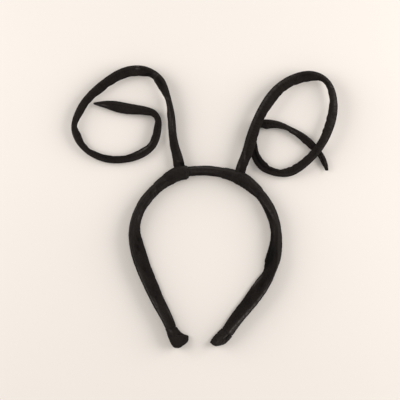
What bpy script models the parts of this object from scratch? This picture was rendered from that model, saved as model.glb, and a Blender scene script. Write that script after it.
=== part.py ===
"""Antenna headband: a cloth-covered hoop with two wired cloth antennae, lying on its side.

Metres, +Z up. The hoop lies on the floor with its underside at z = 0, its two ends towards -Y
and its antennae towards +Y. The origin is the middle of the whole part's box, on the floor.

Each strip of cloth follows a table. A row is one section: its place on the strip's outer edge,
as shares of the named sizes, and how far the cloth reaches inwards from there.
"""
import math
from collections import namedtuple

import bmesh
import bpy
import numpy as np

PART_NAME = "antenna_headband"

# Hoop, worn over the head
BAND_WIDTH = 0.131
BAND_LENGTH = 0.155
BAND_HEIGHT = 0.0105
BAND_DEPTH = 0.0128
RIDGE_RADIUS = 0.0022
FOOT_RADIUS = 0.0020
LIP_RADIUS = 0.0019

# Cloth cups over the hoop's ends
CAP_WALL = 0.0012
LEFT_CAP_LENGTH = 0.0200
RIGHT_CAP_LENGTH = 0.0155
TIP_ROUNDING = 0.0050
TIP_FLAT_SHARE = 0.45

# Cloth wraps that hold the antennae on the hoop
SLEEVE_WALL = 0.0012
SLEEVE_LENGTH = 0.0225
SLEEVE_RAMP = 0.0030
LEFT_ROOT_SHARE = 0.437
RIGHT_ROOT_SHARE = 0.567
ROOT_OFFSET = 0.0037

# Antennae, each a strip of cloth with a wire along its outer edge
LEFT_CURL_WIDTH = 0.0910
LEFT_CURL_LENGTH = 0.0860
RIGHT_CURL_WIDTH = 0.0816
RIGHT_CURL_LENGTH = 0.0867
STRIP_WIDTH = 0.0096
WIRE_RADIUS = 0.0020
HEM_RADIUS = 0.0013
FLOOR_CLEARANCE = 0.0006
CROSSING_CLEARANCE = 0.0026
TIP_TAPER = 0.0120
TIP_POINT_SHARE = 0.22

# Gap between pieces that touch
CLEARANCE = 0.0003

# Fineness of the meshes
BAND_RING_STEP = 0.0058
CAP_RINGS = 9
SLEEVE_RINGS = 11
ANTENNA_RINGS = 88
BAND_ARC_STEPS = 5
STRIP_ARC_STEPS = 6
SHARP_ANGLE = 50

# Heights of the wire's middle, in the lower and the upper strand where the strip crosses itself
LOW_LEVEL = FLOOR_CLEARANCE + WIRE_RADIUS
HIGH_LEVEL = LOW_LEVEL + 2 * WIRE_RADIUS + CROSSING_CLEARANCE

# Hoop from its left end over the crown to its right end. Across is a share of half the width and
# along of the length. Width is a share of the depth and height of the height. Lean says how far
# the ridge stands in from the outer edge, and swing turns the section, in degrees.
BAND_ROWS = (
    # across, along, width, height, lean, swing
    (-0.396, -0.011, 1.13, 0.88, 0.10, 3),
    (-0.435, 0.014, 1.12, 0.92, 0.10, 8),
    (-0.477, 0.052, 1.14, 0.95, 0.10, 11),
    (-0.506, 0.090, 0.78, 0.98, 0.10, 13),
    (-0.545, 0.131, 0.71, 1.00, 0.10, 4),
    (-0.647, 0.208, 0.81, 1.00, 0.06, 0),
    (-0.790, 0.325, 0.93, 1.00, 0.06, 0),
    (-0.917, 0.449, 1.00, 1.00, 0.06, 0),
    (-0.980, 0.538, 0.98, 1.00, 0.08, 0),
    (-1.000, 0.634, 0.80, 1.00, 0.10, 0),
    (-0.955, 0.730, 0.69, 1.00, 0.15, 0),
    (-0.856, 0.816, 0.72, 1.00, 0.20, 0),
    (-0.723, 0.882, 0.72, 1.00, 0.25, 0),
    (-0.557, 0.938, 0.67, 1.00, 0.35, 0),
    (-0.343, 0.985, 0.66, 1.00, 0.40, 0),
    (-0.131, 0.999, 0.65, 1.00, 0.40, 0),
    (0.090, 0.998, 0.66, 1.00, 0.40, 0),
    (0.303, 0.982, 0.67, 1.00, 0.40, 0),
    (0.518, 0.946, 0.68, 1.00, 0.35, 0),
    (0.612, 0.918, 0.70, 1.00, 0.30, 0),
    (0.777, 0.854, 0.69, 1.00, 0.25, 0),
    (0.903, 0.772, 0.75, 1.00, 0.15, 0),
    (0.974, 0.683, 0.72, 1.00, 0.12, 0),
    (0.999, 0.587, 0.84, 1.00, 0.10, 0),
    (0.982, 0.493, 1.00, 1.00, 0.08, 0),
    (0.905, 0.404, 0.85, 1.00, 0.08, 0),
    (0.797, 0.318, 0.95, 1.00, 0.08, 0),
    (0.617, 0.209, 0.95, 1.00, 0.08, 0),
    (0.418, 0.106, 0.88, 0.98, 0.10, 0),
    (0.357, 0.069, 0.91, 0.96, 0.10, 0),
    (0.292, 0.038, 0.94, 0.94, 0.10, -7),
    (0.240, 0.019, 0.93, 0.91, 0.10, -12),
    (0.169, 0.000, 0.90, 0.86, 0.10, -26),
)

# Antennae from the root to the point. Across and along are shares of the curl's width and length,
# from the root. Lift is the wire's level, from 0, low, to 1, high. Width is what is seen from
# above and drop is how far the hem hangs below the wire, both as shares of the strip's width.
LEFT_ROWS = (
    # across, along, lift, width, drop
    (0.060, -0.050, 0.42, 1.00, 0.05),
    (0.047, 0.040, 0.45, 1.00, 0.05),
    (0.026, 0.140, 0.50, 0.90, 0.10),
    (-0.014, 0.300, 0.60, 0.76, 0.25),
    (-0.025, 0.400, 0.65, 0.71, 0.32),
    (-0.042, 0.560, 0.70, 0.61, 0.38),
    (-0.060, 0.642, 0.72, 0.48, 0.40),
    (-0.102, 0.802, 0.75, 0.70, 0.35),
    (-0.136, 0.880, 0.76, 0.82, 0.25),
    (-0.200, 0.948, 0.78, 0.71, 0.25),
    (-0.279, 0.995, 0.78, 0.84, 0.20),
    (-0.364, 1.015, 0.78, 0.93, 0.12),
    (-0.534, 0.987, 0.76, 0.92, 0.15),
    (-0.680, 0.900, 0.70, 0.84, 0.22),
    (-0.801, 0.797, 0.62, 0.79, 0.25),
    (-0.909, 0.673, 0.52, 0.69, 0.28),
    (-0.983, 0.524, 0.42, 0.63, 0.22),
    (-1.004, 0.437, 0.38, 0.50, 0.20),
    (-0.999, 0.349, 0.34, 0.67, 0.15),
    (-0.927, 0.207, 0.26, 0.60, 0.08),
    (-0.797, 0.102, 0.20, 0.60, 0.00),
    (-0.650, 0.054, 0.16, 0.66, -0.08),
    (-0.495, 0.057, 0.14, 0.66, -0.15),
    (-0.338, 0.106, 0.12, 0.77, -0.20),
    (-0.211, 0.220, 0.10, 0.71, -0.25),
    (-0.163, 0.390, 0.10, 0.69, -0.28),
    (-0.166, 0.487, 0.10, 0.56, -0.30),
    (-0.217, 0.573, 0.10, 0.65, -0.28),
    (-0.296, 0.610, 0.12, 0.76, -0.20),
    (-0.454, 0.642, 0.16, 0.97, -0.10),
    (-0.594, 0.668, 0.20, 0.94, 0.00),
    (-0.710, 0.668, 0.20, 0.60, 0.05),
    (-0.795, 0.645, 0.18, 0.20, 0.00),
)
RIGHT_ROWS = (
    # across, along, lift, width, drop
    (-0.078, -0.039, 0.42, 1.00, 0.05),
    (-0.064, 0.059, 0.52, 1.00, 0.05),
    (-0.012, 0.182, 0.88, 0.94, 0.06),
    (0.038, 0.324, 1.00, 0.94, 0.06),
    (0.093, 0.475, 1.00, 0.94, 0.08),
    (0.159, 0.612, 0.98, 0.93, 0.12),
    (0.255, 0.762, 0.95, 0.97, 0.15),
    (0.375, 0.881, 0.92, 0.96, 0.18),
    (0.529, 0.965, 0.90, 0.96, 0.20),
    (0.700, 1.000, 0.90, 0.92, 0.22),
    (0.793, 0.986, 0.90, 0.76, 0.30),
    (0.884, 0.937, 0.90, 0.48, 0.38),
    (0.948, 0.862, 0.90, 0.54, 0.38),
    (0.996, 0.700, 0.88, 0.68, 0.32),
    (0.985, 0.527, 0.86, 0.84, 0.20),
    (0.940, 0.395, 0.86, 0.83, 0.10),
    (0.884, 0.288, 0.84, 0.78, 0.08),
    (0.797, 0.174, 0.74, 0.76, 0.12),
    (0.664, 0.051, 0.56, 0.79, 0.12),
    (0.503, -0.031, 0.38, 0.79, 0.06),
    (0.316, -0.018, 0.20, 0.67, -0.05),
    (0.196, 0.036, 0.08, 0.84, -0.12),
    (0.118, 0.137, 0.00, 0.78, -0.16),
    (0.085, 0.265, 0.00, 0.71, -0.16),
    (0.080, 0.395, 0.00, 0.69, -0.16),
    (0.108, 0.478, 0.00, 0.66, -0.16),
    (0.175, 0.522, 0.00, 0.73, -0.14),
    (0.266, 0.532, 0.02, 0.85, -0.10),
    (0.414, 0.505, 0.05, 0.67, -0.15),
    (0.527, 0.456, 0.05, 0.52, -0.22),
    (0.644, 0.399, 0.03, 0.68, -0.15),
    (0.781, 0.289, 0.00, 0.69, -0.10),
    (0.874, 0.165, 0.00, 0.57, -0.06),
    (0.906, 0.080, 0.00, 0.38, 0.00),
    (0.911, 0.034, 0.00, 0.20, 0.00),
)

BAND_COLOUR = (0.0175, 0.0150, 0.0140, 1.0)
ANTENNA_COLOUR = (0.0165, 0.0145, 0.0135, 1.0)
BINDING_COLOUR = (0.0185, 0.0160, 0.0150, 1.0)
CLOTH_ROUGHNESS = 0.92

BandRow = namedtuple("BandRow", "width height lean swing")
StripRow = namedtuple("StripRow", "lift width drop")
Station = namedtuple("Station", "point forward inward row")


class Path:
    """A smooth curve along a strip's outer edge, which also carries the table's other columns."""

    def __init__(self, rows, scale, start, row_type, inner_side):
        table = np.array(rows, dtype=float)
        places = table[:, :2] * scale + start
        steps = np.linalg.norm(np.diff(places, axis=0), axis=1)
        self.knots = np.concatenate(([0.0], np.cumsum(steps)))
        self.values = np.hstack((places, table[:, 2:]))
        self.bends = self.solve_bends()
        self.length = self.knots[-1]
        self.row_type = row_type
        self.inner_side = inner_side

    def solve_bends(self):
        """Second derivatives at the knots of the natural cubic spline through the values."""
        count = len(self.knots)
        gaps = np.diff(self.knots)
        matrix = np.eye(count)
        target = np.zeros_like(self.values)
        for i in range(1, count - 1):
            before, after = gaps[i - 1], gaps[i]
            matrix[i, i - 1:i + 2] = before, 2 * (before + after), after
            rise_after = (self.values[i + 1] - self.values[i]) / after
            rise_before = (self.values[i] - self.values[i - 1]) / before
            target[i] = 6 * (rise_after - rise_before)
        return np.linalg.solve(matrix, target)

    def station(self, distance):
        """Place, direction, inward direction and row at a distance along the curve."""
        span = int(np.clip(np.searchsorted(self.knots, distance) - 1, 0, len(self.knots) - 2))
        gap = self.knots[span + 1] - self.knots[span]
        after = (distance - self.knots[span]) / gap
        before = 1 - after
        low, high = self.values[span], self.values[span + 1]
        low_bend, high_bend = self.bends[span], self.bends[span + 1]
        bulge = (before ** 3 - before) * low_bend + (after ** 3 - after) * high_bend
        value = before * low + after * high + bulge * gap ** 2 / 6
        turn = (3 * after ** 2 - 1) * high_bend - (3 * before ** 2 - 1) * low_bend
        slope = (high - low) / gap + turn * gap / 6
        forward = slope[:2] / np.linalg.norm(slope[:2])
        inward = self.inner_side * np.array((forward[1], -forward[0]))
        return Station(value[:2], forward, inward, self.row_type(*value[2:]))


def ease(share):
    """A smooth step from 0 to 1 as the share goes from 0 to 1."""
    share = min(max(share, 0.0), 1.0)
    return share * share * (3 - 2 * share)


def hull_outline(circles, arc_steps):
    """Points round the hull of circles (u, z, radius), which are listed counter-clockwise."""
    normals = []
    for i, (u, z, radius) in enumerate(circles):
        next_u, next_z, next_radius = circles[(i + 1) % len(circles)]
        span = np.array((next_u - u, next_z - z))
        reach = np.linalg.norm(span)
        span = span / reach
        part = (radius - next_radius) / reach
        normals.append(span * part + np.array((span[1], -span[0])) * math.sqrt(1 - part * part))
    outline = []
    for i, (u, z, radius) in enumerate(circles):
        start = math.atan2(normals[i - 1][1], normals[i - 1][0])
        end = math.atan2(normals[i][1], normals[i][0])
        sweep = (end - start) % (2 * math.pi)
        for step in range(arc_steps + 1):
            angle = start + sweep * step / arc_steps
            outline.append((u + radius * math.cos(angle), z + radius * math.sin(angle)))
    return outline


def place_outline(point, inward, outline):
    """The outline (u inwards from the outer edge, z up) as points in the part's space."""
    return [(point[0] + inward[0] * u, point[1] + inward[1] * u, z) for u, z in outline]


def tip_scale(distance):
    """How much of its full size a section has at a distance from the hoop's rounded tip."""
    if distance >= TIP_ROUNDING:
        return 1.0
    share = 1 - max(distance, 0.0) / TIP_ROUNDING
    return TIP_FLAT_SHARE + (1 - TIP_FLAT_SHARE) * math.sqrt(1 - share * share)


def sleeve_span(root_share, side):
    """Where along the hoop a sleeve starts and ends, set off from its root away from the crown."""
    middle = band_path.length * root_share + side * ROOT_OFFSET
    return middle - SLEEVE_LENGTH / 2, middle + SLEEVE_LENGTH / 2


def underside(distance):
    """Height of the hoop's underside, which is pressed up by the cloth of a sleeve."""
    height = 0.0
    for start, end in (left_sleeve_span, right_sleeve_span):
        outside = max(start - distance, distance - end, 0.0)
        height = max(height, 1 - ease(outside / SLEEVE_RAMP))
    return height * (SLEEVE_WALL + CLEARANCE)


def band_ring(distance, grow=0.0, tip_distance=TIP_ROUNDING):
    """The hoop's section at a distance along it, with its surface moved outwards by grow."""
    station = band_path.station(distance)
    row = station.row
    width = row.width * BAND_DEPTH
    top = row.height * BAND_HEIGHT
    base = underside(distance)
    ridge_place = RIDGE_RADIUS + row.lean * (width - 2 * RIDGE_RADIUS)
    circles = (
        (ridge_place, top - RIDGE_RADIUS, RIDGE_RADIUS + grow),
        (FOOT_RADIUS, base + FOOT_RADIUS, FOOT_RADIUS + grow),
        (width - LIP_RADIUS, base + LIP_RADIUS, LIP_RADIUS + grow),
    )
    outline = np.array(hull_outline(circles, BAND_ARC_STEPS))
    middle = np.array((width / 2, top / 2))
    outline = middle + (outline - middle) * tip_scale(tip_distance)
    swing = math.radians(row.swing)
    inward = station.inward * math.cos(swing) - station.forward * math.sin(swing)
    return place_outline(station.point, inward, outline)


def strip_ring(path, distance, grow=0.0):
    """An antenna's section at a distance along it, with its surface moved outwards by grow."""
    station = path.station(distance)
    row = station.row
    taper = ease((path.length - distance) / TIP_TAPER) * (1 - TIP_POINT_SHARE) + TIP_POINT_SHARE
    wire, hem = WIRE_RADIUS * taper, HEM_RADIUS * taper
    level = LOW_LEVEL + row.lift * (HIGH_LEVEL - LOW_LEVEL)
    hem_place = max(row.width * STRIP_WIDTH - hem, wire + hem)
    circles = (
        (wire, level, wire + grow),
        (hem_place, level - row.drop * STRIP_WIDTH, hem + grow),
    )
    return place_outline(station.point, station.inward, hull_outline(circles, STRIP_ARC_STEPS))


def loft(name, rings, closed=False):
    """A solid with its skin stretched from ring to ring, closed into a loop or capped flat."""
    mesh = bpy.data.meshes.new(name)
    build = bmesh.new()
    loops = [[build.verts.new(point) for point in ring] for ring in rings]
    pairs = list(zip(loops, loops[1:]))
    if closed:
        pairs.append((loops[-1], loops[0]))
    for near, far in pairs:
        for i in range(len(near)):
            j = (i + 1) % len(near)
            build.faces.new((near[i], near[j], far[j], far[i]))
    if not closed:
        build.faces.new(loops[0])
        build.faces.new(loops[-1])
    bmesh.ops.recalc_face_normals(build, faces=build.faces)
    bmesh.ops.triangulate(build, faces=build.faces)
    build.to_mesh(mesh)
    build.free()
    mesh.shade_smooth()
    mesh.set_sharp_from_angle(angle=math.radians(SHARP_ANGLE))
    return bpy.data.objects.new(name, mesh)


def spread(start, end, count):
    """Evenly spaced distances from start to end, both included."""
    return [float(distance) for distance in np.linspace(start, end, count)]


def spread_between(stops, step):
    """Distances from the first stop to the last, through each stop, at most a step apart."""
    distances = [stops[0]]
    for start, end in zip(stops, stops[1:]):
        count = math.ceil((end - start) / step)
        distances += spread(start, end, count + 1)[1:]
    return distances


def cloth_material(name, colour):
    """Short-nap cloth with a faint sheen."""
    material = bpy.data.materials.new(name)
    material.use_nodes = True
    shader = material.node_tree.nodes["Principled BSDF"]
    shader.inputs["Base Color"].default_value = colour
    shader.inputs["Roughness"].default_value = CLOTH_ROUGHNESS
    shader.inputs["Metallic"].default_value = 0.0
    return material


def make_band():
    """The hoop, thinner by a cloth's wall inside its two cups."""
    inset = CAP_WALL + CLEARANCE
    left_mouth = LEFT_CAP_LENGTH + CLEARANCE
    right_mouth = RIGHT_CAP_LENGTH + CLEARANCE
    rings = []
    for distance in spread(inset, left_mouth, CAP_RINGS):
        rings.append(band_ring(distance, -inset, distance - inset))
    stops = [left_mouth]
    for start, end in (left_sleeve_span, right_sleeve_span):
        stops += [start - SLEEVE_RAMP, start, end, end + SLEEVE_RAMP]
    stops.append(band_path.length - right_mouth)
    for distance in spread_between(stops, BAND_RING_STEP):
        rings.append(band_ring(distance))
    for from_end in spread(right_mouth, inset, CAP_RINGS):
        rings.append(band_ring(band_path.length - from_end, -inset, from_end - inset))
    return loft("band", rings)


def make_cap(name, length, place):
    """A cloth cup over one end of the hoop. Place turns a distance from the tip into one along."""
    rings = []
    for distance in spread(CAP_WALL, length, CAP_RINGS):
        rings.append(band_ring(place(distance), -CAP_WALL, distance - CAP_WALL))
    for distance in spread(length, 0.0, CAP_RINGS):
        rings.append(band_ring(place(distance), 0.0, distance))
    return loft(name, rings)


def make_sleeve(name, span):
    """A cloth wrap round the hoop, a clearance off it."""
    start, end = span
    inner = [band_ring(distance, CLEARANCE) for distance in spread(start, end, SLEEVE_RINGS)]
    outer = [
        band_ring(distance, CLEARANCE + SLEEVE_WALL) for distance in spread(end, start, SLEEVE_RINGS)
    ]
    return loft(name, inner + outer, closed=True)


def make_antenna(name, path):
    """A wired strip from inside the hoop, where it is cut off, to its point."""
    rings = [strip_ring(path, distance) for distance in spread(0.0, path.length, ANTENNA_RINGS)]
    return loft(name, rings)


def cut(target, cutter):
    """Take the cutter's space out of the target."""
    boolean = target.modifiers.new(cutter.name, "BOOLEAN")
    boolean.operation = "DIFFERENCE"
    boolean.solver = "EXACT"
    boolean.object = cutter


def seat_antenna(antenna, path, sleeve, span, side_name):
    """Cut the antenna's foot clear of the hoop, and the slit that it leaves the sleeve through."""
    start, end = span
    stops = (start - STRIP_WIDTH, start - SLEEVE_RAMP, start, end, end + SLEEVE_RAMP, end + STRIP_WIDTH)
    distances = spread_between(stops, SLEEVE_LENGTH / SLEEVE_RINGS)
    hoop_rings = [band_ring(distance, CLEARANCE) for distance in distances]
    hoop_space = loft(side_name + "_hoop_space", hoop_rings)
    past_sleeve = BAND_DEPTH + 2 * SLEEVE_WALL
    stem_rings = [
        strip_ring(path, distance, CLEARANCE) for distance in spread(0.0, past_sleeve, SLEEVE_RINGS)
    ]
    stem_space = loft(side_name + "_stem_space", stem_rings)
    cut(antenna, hoop_space)
    cut(sleeve, stem_space)
    return hoop_space, stem_space


def antenna_path(rows, curl_width, curl_length, root_share, inner_side):
    """An antenna's path, from its root on the hoop's outer edge."""
    root = band_path.station(band_path.length * root_share).point
    return Path(rows, (curl_width, curl_length), root, StripRow, inner_side)


def new_collection(name):
    collection = bpy.data.collections.new(name)
    bpy.context.scene.collection.children.link(collection)
    return collection


def move_to_box_middle(pieces, others):
    """Shift everything so that the middle of the pieces' common box is over the origin."""
    corners = np.array([vertex.co for piece in pieces for vertex in piece.data.vertices])
    middle = (corners.min(axis=0) + corners.max(axis=0)) / 2
    for item in (*pieces, *others):
        item.location = (-middle[0], -middle[1], 0.0)


for old in list(bpy.data.objects):
    bpy.data.objects.remove(old, do_unlink=True)

band_path = Path(BAND_ROWS, (BAND_WIDTH / 2, BAND_LENGTH), (0.0, 0.0), BandRow, 1)
left_sleeve_span = sleeve_span(LEFT_ROOT_SHARE, -1)
right_sleeve_span = sleeve_span(RIGHT_ROOT_SHARE, 1)
left_path = antenna_path(LEFT_ROWS, LEFT_CURL_WIDTH, LEFT_CURL_LENGTH, LEFT_ROOT_SHARE, -1)
right_path = antenna_path(RIGHT_ROWS, RIGHT_CURL_WIDTH, RIGHT_CURL_LENGTH, RIGHT_ROOT_SHARE, 1)

band = make_band()
left_cap = make_cap("left_end_cap", LEFT_CAP_LENGTH, lambda distance: distance)
right_cap = make_cap("right_end_cap", RIGHT_CAP_LENGTH, lambda distance: band_path.length - distance)
left_sleeve = make_sleeve("left_root_sleeve", left_sleeve_span)
right_sleeve = make_sleeve("right_root_sleeve", right_sleeve_span)
left_antenna = make_antenna("left_antenna", left_path)
right_antenna = make_antenna("right_antenna", right_path)

spaces = [
    *seat_antenna(left_antenna, left_path, left_sleeve, left_sleeve_span, "left"),
    *seat_antenna(right_antenna, right_path, right_sleeve, right_sleeve_span, "right"),
]

parts = new_collection(PART_NAME)
finishes = {
    "band_cloth": (BAND_COLOUR, (band,)),
    "antenna_cloth": (ANTENNA_COLOUR, (left_antenna, right_antenna)),
    "binding_cloth": (BINDING_COLOUR, (left_sleeve, right_sleeve, left_cap, right_cap)),
}
for finish, (colour, pieces) in finishes.items():
    cloth = cloth_material(finish, colour)
    for piece in pieces:
        piece.data.materials.append(cloth)
        parts.objects.link(piece)

cutters = new_collection("cutters")
for space in spaces:
    cutters.objects.link(space)
    space.hide_render = True
    space.display_type = "WIRE"

move_to_box_middle(list(parts.objects), spaces)
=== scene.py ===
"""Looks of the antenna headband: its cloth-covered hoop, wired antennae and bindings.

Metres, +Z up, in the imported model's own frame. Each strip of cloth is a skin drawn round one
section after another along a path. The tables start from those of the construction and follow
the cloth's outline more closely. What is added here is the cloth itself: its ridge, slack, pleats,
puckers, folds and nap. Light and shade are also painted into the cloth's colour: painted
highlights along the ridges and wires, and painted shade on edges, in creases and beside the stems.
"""

import math
from collections import namedtuple

import bpy
import numpy as np
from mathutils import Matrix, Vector


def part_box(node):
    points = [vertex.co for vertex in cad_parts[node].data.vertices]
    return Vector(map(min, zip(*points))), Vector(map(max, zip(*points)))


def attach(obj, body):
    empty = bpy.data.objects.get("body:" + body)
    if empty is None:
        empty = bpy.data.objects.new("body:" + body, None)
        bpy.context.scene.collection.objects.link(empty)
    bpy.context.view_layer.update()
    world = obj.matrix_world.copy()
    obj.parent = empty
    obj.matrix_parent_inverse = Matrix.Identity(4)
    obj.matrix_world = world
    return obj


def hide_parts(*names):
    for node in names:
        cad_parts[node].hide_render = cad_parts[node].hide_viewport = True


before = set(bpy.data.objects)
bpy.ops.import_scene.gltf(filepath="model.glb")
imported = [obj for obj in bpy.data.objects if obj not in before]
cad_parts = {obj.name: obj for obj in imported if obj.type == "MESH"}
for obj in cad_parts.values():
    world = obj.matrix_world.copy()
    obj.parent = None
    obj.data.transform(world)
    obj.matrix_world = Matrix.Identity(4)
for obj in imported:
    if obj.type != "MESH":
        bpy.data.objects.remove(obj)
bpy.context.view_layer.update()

# Hoop, with the sizes of the construction
BAND_WIDTH = 0.131
BAND_LENGTH = 0.155
BAND_HEIGHT = 0.0105
BAND_DEPTH = 0.0128
RIDGE_RADIUS = 0.0014
FOOT_RADIUS = 0.0020
LIP_RADIUS = 0.0017

# Cups over the hoop's ends
CAP_WALL = 0.0012
CUP_PROUD = 0.00035
LEFT_CAP_LENGTH = 0.0200
RIGHT_CAP_LENGTH = 0.0155
Rounding = namedtuple("Rounding", "length power flat_share centre")
LEFT_TIP_ROUNDING = Rounding(0.0055, 3.0, 0.66, 0.56)
RIGHT_TIP_ROUNDING = Rounding(0.0070, 1.6, 0.58, 0.58)

# Wraps that hold the antennae
LEFT_ROOT_SHARE = 0.437
RIGHT_ROOT_SHARE = 0.567
WRAP_GAP = 0.00008
WRAP_EDGE = 0.0006
WRAP_FADE = 0.0035

# Antennae
LEFT_CURL_WIDTH = 0.0910
LEFT_CURL_LENGTH = 0.0860
RIGHT_CURL_WIDTH = 0.0816
RIGHT_CURL_LENGTH = 0.0867
STRIP_WIDTH = 0.0096
WIRE_RADIUS = 0.0020
HEM_RADIUS = 0.0013
FLOOR_CLEARANCE = 0.0006
FOOT_START = 0.0040
CROSSING_CLEARANCE = 0.0026
TIP_TAPER = 0.0090
TIP_POINT_SHARE = 0.30
CLEARANCE = 0.0003
LOW_LEVEL = FLOOR_CLEARANCE + WIRE_RADIUS
HIGH_LEVEL = LOW_LEVEL + 2 * WIRE_RADIUS + CROSSING_CLEARANCE

# Fineness of the skins
BAND_STEP = 0.00075
STRIP_STEP = 0.00065
BINDING_STEP = 0.00045
CUP_STEP = 0.00030
INNER_STEP = 0.00090
BAND_ARC_STEPS = 9
STRIP_ARC_STEPS = 11
BAND_RUN_STEPS = (10, 12, 18)
STRIP_RUN_STEPS = (13, 13)
CLOSING_RINGS = 6
FLOOR_GAP = 0.00008

# Camera, straight above the middle of the picture
VIEW_CENTRE = (-0.00358, 0.00562)
VIEW_WIDTH = 0.340
VIEW_PLANE = 0.005
VIEW_DISTANCE = 0.90
SENSOR_WIDTH = 36.0

# Hoop from its left end over the crown to its right end, in shares of its half width and its
# length. Lean says how far the ridge stands in from the outer edge, swing turns the section, in
# degrees, and slack says how loose the cloth is between the ridge and the lip.
BAND_ROWS = (
    # across, along, width, height, lean, swing, slack
    (-0.396, -0.011, 1.16, 0.88, 0.10, 3, 0.2),
    (-0.435, 0.014, 1.16, 0.92, 0.10, 8, 0.2),
    (-0.477, 0.052, 1.17, 0.95, 0.08, 11, 0.3),
    (-0.506, 0.090, 0.80, 0.98, 0.06, 13, 0.5),
    (-0.545, 0.131, 0.73, 1.00, 0.04, 4, 0.7),
    (-0.647, 0.208, 0.82, 1.00, 0.04, 0, 1.0),
    (-0.790, 0.325, 0.93, 1.00, 0.04, 0, 1.0),
    (-0.917, 0.449, 1.00, 1.00, 0.04, 0, 1.0),
    (-0.980, 0.538, 0.98, 1.00, 0.06, 0, 0.9),
    (-1.000, 0.634, 0.80, 1.00, 0.16, 0, 0.7),
    (-0.955, 0.730, 0.69, 1.00, 0.28, 0, 0.5),
    (-0.856, 0.816, 0.72, 1.00, 0.36, 0, 0.4),
    (-0.723, 0.882, 0.72, 1.00, 0.40, 0, 0.3),
    (-0.557, 0.938, 0.67, 1.00, 0.42, 0, 0.2),
    (-0.343, 0.985, 0.66, 1.00, 0.42, 0, 0.1),
    (-0.131, 0.999, 0.65, 1.00, 0.42, 0, 0.1),
    (0.090, 0.998, 0.66, 1.00, 0.42, 0, 0.1),
    (0.303, 0.982, 0.67, 1.00, 0.42, 0, 0.1),
    (0.518, 0.946, 0.68, 1.00, 0.42, 0, 0.2),
    (0.612, 0.918, 0.70, 1.00, 0.42, 0, 0.2),
    (0.777, 0.854, 0.69, 1.00, 0.42, 0, 0.3),
    (0.903, 0.772, 0.75, 1.00, 0.42, 0, 0.3),
    (0.974, 0.683, 0.72, 1.00, 0.46, 0, 0.2),
    (0.999, 0.587, 0.84, 1.00, 0.50, 0, 0.1),
    (0.982, 0.493, 1.00, 1.00, 0.30, 0, 0.3),
    (0.905, 0.404, 0.85, 1.00, 0.06, 0, 0.6),
    (0.797, 0.318, 0.95, 1.00, 0.02, 0, 0.8),
    (0.617, 0.209, 0.95, 1.00, 0.10, 0, 0.8),
    (0.418, 0.106, 0.87, 0.98, 0.27, 0, 0.5),
    (0.357, 0.069, 0.85, 0.96, 0.35, 0, 0.4),
    (0.292, 0.038, 0.86, 0.94, 0.38, -7, 0.3),
    (0.240, 0.019, 0.84, 0.91, 0.36, -12, 0.2),
    (0.169, 0.000, 0.82, 0.86, 0.34, -26, 0.2),
)

# Antennae from the root to the point, in shares of each curl's width and length. Lift is the
# share of the way from the low to the high level, and drop lowers the hem.
LEFT_ROWS = (
    # across, along, lift, width, drop
    (0.073, -0.050, 0.42, 1.00, 0.05),
    (0.055, 0.040, 0.45, 1.00, 0.05),
    (0.028, 0.140, 0.50, 0.90, 0.10),
    (-0.014, 0.300, 0.60, 0.76, 0.25),
    (-0.025, 0.400, 0.65, 0.71, 0.32),
    (-0.042, 0.560, 0.70, 0.67, 0.38),
    (-0.060, 0.642, 0.72, 0.55, 0.40),
    (-0.102, 0.802, 0.75, 0.76, 0.35),
    (-0.136, 0.880, 0.76, 0.87, 0.25),
    (-0.200, 0.948, 0.78, 0.71, 0.25),
    (-0.279, 0.995, 0.78, 0.84, 0.20),
    (-0.364, 1.015, 0.78, 0.93, 0.12),
    (-0.534, 0.987, 0.76, 0.92, 0.15),
    (-0.680, 0.900, 0.70, 0.84, 0.22),
    (-0.801, 0.797, 0.62, 0.79, 0.25),
    (-0.909, 0.673, 0.52, 0.69, 0.28),
    (-0.983, 0.524, 0.42, 0.63, 0.22),
    (-1.004, 0.437, 0.38, 0.50, 0.20),
    (-0.999, 0.349, 0.34, 0.67, 0.15),
    (-0.927, 0.207, 0.26, 0.60, 0.08),
    (-0.797, 0.102, 0.20, 0.60, 0.00),
    (-0.650, 0.054, 0.16, 0.66, -0.08),
    (-0.495, 0.057, 0.14, 0.66, -0.15),
    (-0.338, 0.106, 0.12, 0.77, -0.20),
    (-0.211, 0.220, 0.10, 0.71, -0.25),
    (-0.163, 0.390, 0.10, 0.69, -0.28),
    (-0.166, 0.487, 0.10, 0.56, -0.30),
    (-0.217, 0.573, 0.10, 0.65, -0.28),
    (-0.296, 0.610, 0.12, 0.76, -0.20),
    (-0.454, 0.642, 0.16, 0.97, -0.10),
    (-0.594, 0.668, 0.20, 0.94, 0.00),
    (-0.710, 0.668, 0.20, 0.60, 0.05),
    (-0.795, 0.653, 0.18, 0.20, 0.00),
)
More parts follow.
